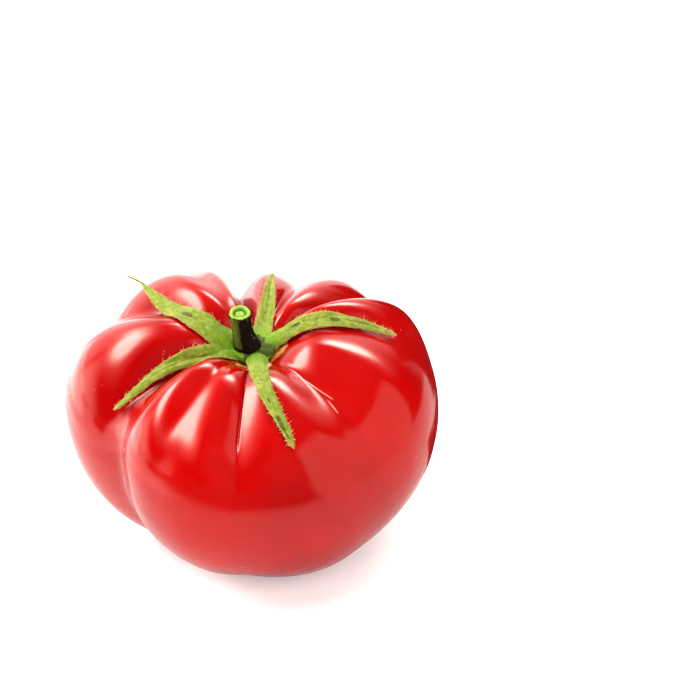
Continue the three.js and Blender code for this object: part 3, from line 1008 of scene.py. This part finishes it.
class TOMATO_OT_add_hairs(bpy.types.Operator):
    """Model the fine pale hairs of the sepals and the stem from one thin cone, repeated"""

    bl_idname = "tomato.add_hairs"
    bl_label = "Add hairs"

    def execute(self, context):
        settings = context.scene.tomato_calyx
        rng = np.random.default_rng(HAIR_SEED)
        roots, ways = [], []
        for name in SEPALS:
            root, way = self.on_sepal(name, settings, rng)
            roots.append(root)
            ways.append(way)
        root, way = self.on_stem(settings.stem_hairs, rng)
        roots, ways = np.vstack([*roots, root]), np.vstack([*ways, way])
        lengths = rng.gamma(4, 0.17, len(roots))
        deselect_all()
        bpy.ops.mesh.primitive_cone_add(
            vertices=3, radius1=HAIR_RADIUS * MM, radius2=0, depth=MM, end_fill_type="NGON"
        )
        piece = active_piece("calyx_hairs")
        unit = places_of(piece) / MM
        row = piece.modifiers.new("Row", "ARRAY")
        row.count = len(roots)
        row.use_relative_offset = False
        row.use_constant_offset = True
        row.constant_offset_displace = (0.01, 0, 0)
        bpy.ops.object.modifier_apply(modifier=row.name)
        ways /= np.linalg.norm(ways, axis=1, keepdims=True)
        side = np.cross(ways, (0.3, 0.5, 0.81))
        side /= np.linalg.norm(side, axis=1, keepdims=True)
        other = np.cross(ways, side)
        places = roots[:, None] + side[:, None] * unit[None, :, :1] + other[:, None] * unit[None, :, 1:2]
        places = places + (ways * lengths[:, None])[:, None] * (unit[None, :, 2:] + 0.5)
        move_vertices(piece, stand(places.reshape(-1, 3)))
        face_outward(piece)
        piece.data.materials.append(hair_material(settings))
        finish_piece(piece, "calyx")
        return {"FINISHED"}

    def on_sepal(self, name, settings, rng):
        """Roots and directions along the edges, and fewer over the face."""
        count = settings.sepal_hairs
        share = rng.uniform(0.03, 0.97, count)
        edge = rng.random(count) < 0.7
        across = np.where(edge, np.sign(rng.uniform(-1, 1, count)) * 0.97, rng.uniform(-0.9, 0.9, count))
        middle, thin, side, up = blade(name, across, share, settings.thickness / MM)
        outward = side * (np.sign(across) * edge)[:, None] + up * np.where(edge, 0.35, 1)[:, None]
        way = outward + rng.normal(0, 0.55, (count, 3))
        way[:, 2] = np.maximum(way[:, 2], 0.1)
        return middle + up * (thin * 0.3)[:, None], way

    def on_stem(self, count, rng):
        heights, radii, shifts = (np.array(column) for column in zip(*STEM_LEVELS))
        turn = rng.uniform(0, 2 * math.pi, count)
        level = rng.uniform(heights[2], heights[-1], count)
        radius, shift = np.interp(level, heights, radii) * 0.96, np.interp(level, heights, shifts)
        root = np.stack([radius * np.cos(turn) + shift, radius * np.sin(turn), level], -1)
        way = np.stack([np.cos(turn), np.sin(turn), np.full(count, 0.1)], -1)
        return root, way + rng.normal(0, 0.25, (count, 3))


class TOMATO_OT_add_stem(bpy.types.Operator):
    """Model the ridged stub of the stem and its cut end"""

    bl_idname = "tomato.add_stem"
    bl_label = "Add stem"

    def execute(self, context):
        settings = context.scene.tomato_stem
        deselect_all()
        bpy.ops.mesh.primitive_uv_sphere_add(segments=STEM_SIDES, ring_count=STEM_ROWS, radius=MM)
        piece = active_piece("stem_stub")
        turn, share = turn_and_share(places_of(piece), -1)
        heights, radii, shifts = (np.array(column) for column in zip(*STEM_LEVELS))
        climb = np.clip((share - STEM_FOOT) / (STEM_CUT_FROM - STEM_FOOT), 0, 1)
        level = heights[0] + (heights[-1] - heights[0]) * climb
        radius = np.interp(level, heights, radii)
        shift = np.interp(level, heights, shifts)
        ridges = 1 + 0.035 * np.cos(5 * turn + 0.7) + 0.02 * np.sin(13 * turn + level * 0.2)
        radius = radius * ridges
        radius = np.where(share < STEM_FOOT, radius * share / STEM_FOOT, radius)
        inward = np.clip((share - STEM_CUT_FROM) / (1 - STEM_CUT_FROM), 0, 1)
        steps, rims, lifts = zip(*STEM_CUT)
        radius = radius * np.interp(inward, steps, rims)
        lift = np.interp(inward, steps, lifts)
        level = level + lift + 0.1 * np.sin(4 * turn + 1) * (inward > 0.05) * (inward < 0.4)
        x, y = radius * np.cos(turn) + shift, radius * np.sin(turn)
        move_vertices(piece, stand(np.stack([x, y, level], -1)))
        # Painted shade: a mask on the side away from the lights and at the foot among the sepals
        away = np.abs(turn_between(turn, SHADED_SIDE_AZIMUTH)) / SHADED_SIDE_SPREAD
        shaded = np.clip(1.3 - away, 0, 1) * (1 - smooth(inward, (0.02, 0.1)))
        shaded = np.maximum(shaded, 1 - smooth(level, (22.8, 24.2)))
        add_attribute(piece, "shaded", shaded)
        add_attribute(piece, "cut_end", smooth(inward, (0.05, 0.12)))
        # The dark ring is the vascular ring's own colour; the dark spot at the middle is painted shade
        # standing in for a small hole
        ring = np.exp(-(((inward - 0.48) / 0.1) ** 2)) + 0.8 * np.exp(-(((inward - 1) / 0.12) ** 2))
        add_attribute(piece, "ring", np.clip(ring, 0, 1))
        face_outward(piece)
        bpy.ops.object.shade_smooth()
        piece.data.materials.append(stem_material(settings))
        finish_piece(piece, "stem")
        return {"FINISHED"}


class TOMATO_OT_add_stage(bpy.types.Operator):
    """Add the plain floor, the soft lights and the camera"""

    bl_idname = "tomato.add_stage"
    bl_label = "Add stage"

    def execute(self, context):
        settings = context.scene.tomato_stage
        deselect_all()
        bpy.ops.mesh.primitive_circle_add(vertices=128, radius=5, fill_type="NGON")
        floor = active_piece("floor")
        floor.data.materials.append(floor_material(settings.floor))
        self.camera(settings)
        self.lights(settings)
        self.cards(settings)
        self.room(settings)
        context.scene.view_settings.view_transform = "Standard"
        context.scene.view_settings.look = "Medium High Contrast"
        return {"FINISHED"}

    def camera(self, settings):
        distance = settings.lens / SENSOR_WIDTH * PHOTO_WIDTH / PIXELS_PER_METRE
        forward = Vector((0, math.cos(settings.elevation), -math.sin(settings.elevation)))
        right = Vector((1, 0, 0))
        up = right.cross(forward)
        aside, below = ((pixel - PHOTO_WIDTH / 2) / PIXELS_PER_METRE for pixel in SUBJECT_PIXEL)
        subject = Vector(STAND) * MM
        deselect_all()
        bpy.ops.object.camera_add(
            location=subject - forward * distance - right * aside + up * below,
            rotation=(math.pi / 2 - settings.elevation, 0, 0),
        )
        camera = bpy.context.object
        camera.name = "camera"
        camera.data.lens = settings.lens
        camera.data.sensor_width = SENSOR_WIDTH
        camera.data.clip_start = 0.01
        bpy.context.scene.camera = camera

    def lights(self, settings):
        """The fills, the white cards and the nested steps of each softbox."""
        entries = list(LIGHTS)
        for name, azimuth, elevation, width, height in SOFTBOXES:
            for step, (spread, share) in enumerate(FEATHER):
                distance = SOFTBOX_DISTANCE + SOFTBOX_STEP * step
                size = (width * spread, height * spread)
                place = (azimuth, elevation, distance)
                entries.append((f"{name}_{step}", *place, *size, "key_brightness", share, "gloss"))
        for name, azimuth, elevation, distance, width, height, setting, share, acts_on in entries:
            way = direction(azimuth, elevation)
            rise = Vector((0, 0, CARD_HEIGHT / 2 if name == "card_white" else 0))
            deselect_all()
            bpy.ops.object.light_add(type="AREA", location=Vector(STAND) * MM + way * distance + rise)
            light = bpy.context.object
            light.name = name
            light.rotation_euler = way.to_track_quat("Z", "Y").to_euler()
            light.data.shape = "RECTANGLE" if elevation == 0 else "ELLIPSE"
            light.data.size = width
            light.data.size_y = height
            area = width * height * (1 if elevation == 0 else math.pi / 4)
            light.data.energy = math.pi * area * getattr(settings, setting) * share
            light.data.color = (1, 0.97, 0.93)
            light.visible_camera = False
            light.visible_glossy = acts_on == "gloss"
            light.visible_diffuse = acts_on == "diffuse"

    def cards(self, settings):
        """Pale and dull cards, unseen by the camera."""
        for name, (places, fade) in CARDS.items():
            deselect_all()
            bpy.ops.mesh.primitive_circle_add(vertices=4, radius=1, fill_type="NGON")
            card = active_piece(name)
            move_vertices(card, np.array(places))
            card.data.materials.append(card_material(name, settings.floor, fade))
            card.visible_camera = False
            card.visible_diffuse = False
            card.visible_shadow = False

    def room(self, settings):
        """The dim room round the table and its bright walls."""
        nodes = Nodes("studio_room", "worlds", "OutputWorld")
        bpy.context.scene.world = nodes.owner
        place = nodes.add("TexCoord").outputs["Generated"]
        total = settings.surroundings
        for azimuth, elevation, inner, outer, strength in GLOWS:
            facing = nodes.add("VectorMath", {"operation": "DOT_PRODUCT"})
            nodes.put(facing, "0", place)
            nodes.put(facing, "1", direction(azimuth, elevation))
            low, high = math.cos(math.radians(outer)), math.cos(math.radians(inner))
            glow = nodes.times(nodes.ramp(facing.outputs["Value"], low, high), strength)
            total = nodes.math("MAXIMUM", glow, total)
        nodes.close(nodes.add("Background", Color=(1, 0.93, 0.9, 1), Strength=total))


class TOMATO_PT_sidebar(bpy.types.Panel):
    """Buttons and settings for the tomato"""

    bl_idname = "TOMATO_PT_sidebar"
    bl_label = "Heirloom Tomato"
    bl_space_type = "VIEW_3D"
    bl_region_type = "UI"
    bl_category = "Tomato"

    def draw(self, context):
        layout = self.layout
        rows = (
            ("tomato_skin", ("tomato.add_skin",)),
            ("tomato_calyx", ("tomato.add_calyx", "tomato.add_hairs")),
            ("tomato_stem", ("tomato.add_stem",)),
            ("tomato_stage", ("tomato.add_stage",)),
        )
        for group_name, operators in rows:
            group = getattr(context.scene, group_name)
            box = layout.box()
            for key in group.bl_rna.properties.keys():
                if key not in {"rna_type", "name"}:
                    box.prop(group, key)
            for operator in operators:
                box.operator(operator)


GROUPS = {
    "tomato_skin": TomatoSkinSettings,
    "tomato_calyx": TomatoCalyxSettings,
    "tomato_stem": TomatoStemSettings,
    "tomato_stage": TomatoStageSettings,
}
CLASSES = (
    *GROUPS.values(),
    TOMATO_OT_add_skin,
    TOMATO_OT_add_calyx,
    TOMATO_OT_add_hairs,
    TOMATO_OT_add_stem,
    TOMATO_OT_add_stage,
    TOMATO_PT_sidebar,
)


def register():
    for entry in CLASSES:
        bpy.utils.register_class(entry)
    for name, group in GROUPS.items():
        setattr(bpy.types.Scene, name, bpy.props.PointerProperty(type=group))


def unregister():
    for name in GROUPS:
        delattr(bpy.types.Scene, name)
    for entry in reversed(CLASSES):
        bpy.utils.unregister_class(entry)


def main():
    register()
    bpy.ops.tomato.add_stage()
    bpy.ops.tomato.add_skin()
    bpy.ops.tomato.add_calyx()
    bpy.ops.tomato.add_hairs()
    bpy.ops.tomato.add_stem()


if __name__ == "__main__":
    main()
